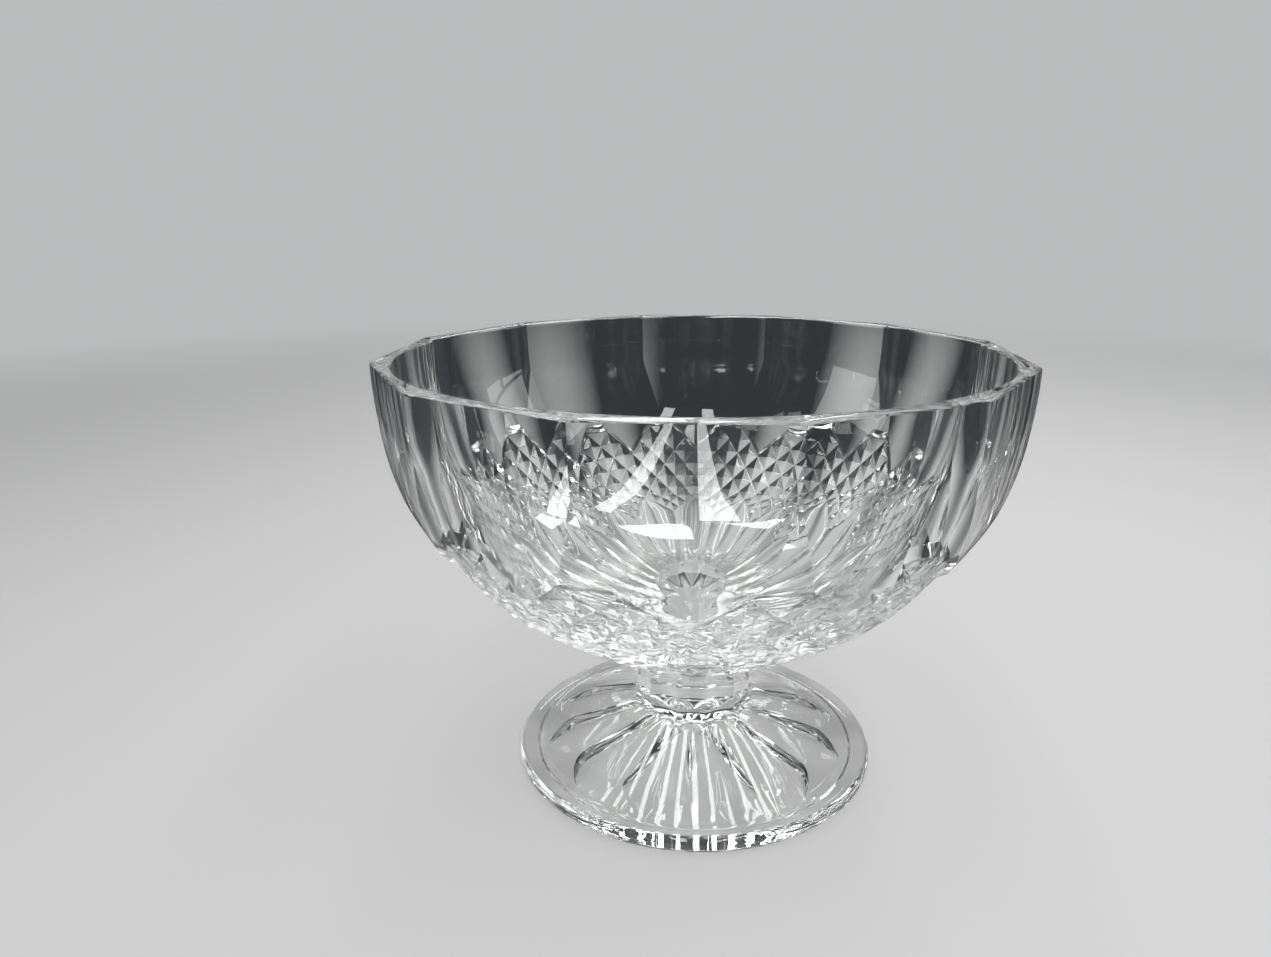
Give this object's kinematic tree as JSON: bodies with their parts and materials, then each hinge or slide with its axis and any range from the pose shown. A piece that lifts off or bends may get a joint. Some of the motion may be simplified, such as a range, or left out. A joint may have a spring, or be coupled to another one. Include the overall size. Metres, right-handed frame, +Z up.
{
  "type": "trifle bowl",
  "caption": "Footed serving bowl in cut glass: flat-sided rim, lozenge-cut body, short collar and round foot with leaf-shaped cuts.",
  "frame": {"origin": "middle of the underside of the foot, on the surface that the bowl stands on", "axes": "+Z up along the bowl's axis; -Y towards the middle of one flat side of the rim"},
  "size_m": [0.2124, 0.2124, 0.154],
  "materials": {
    "crystal": "clear, fire-polished, cut"
  },
  "bodies": {
    "root": {"bowl": "crystal", "collar": "crystal", "foot": "crystal"}
  },
  "joints": []
}
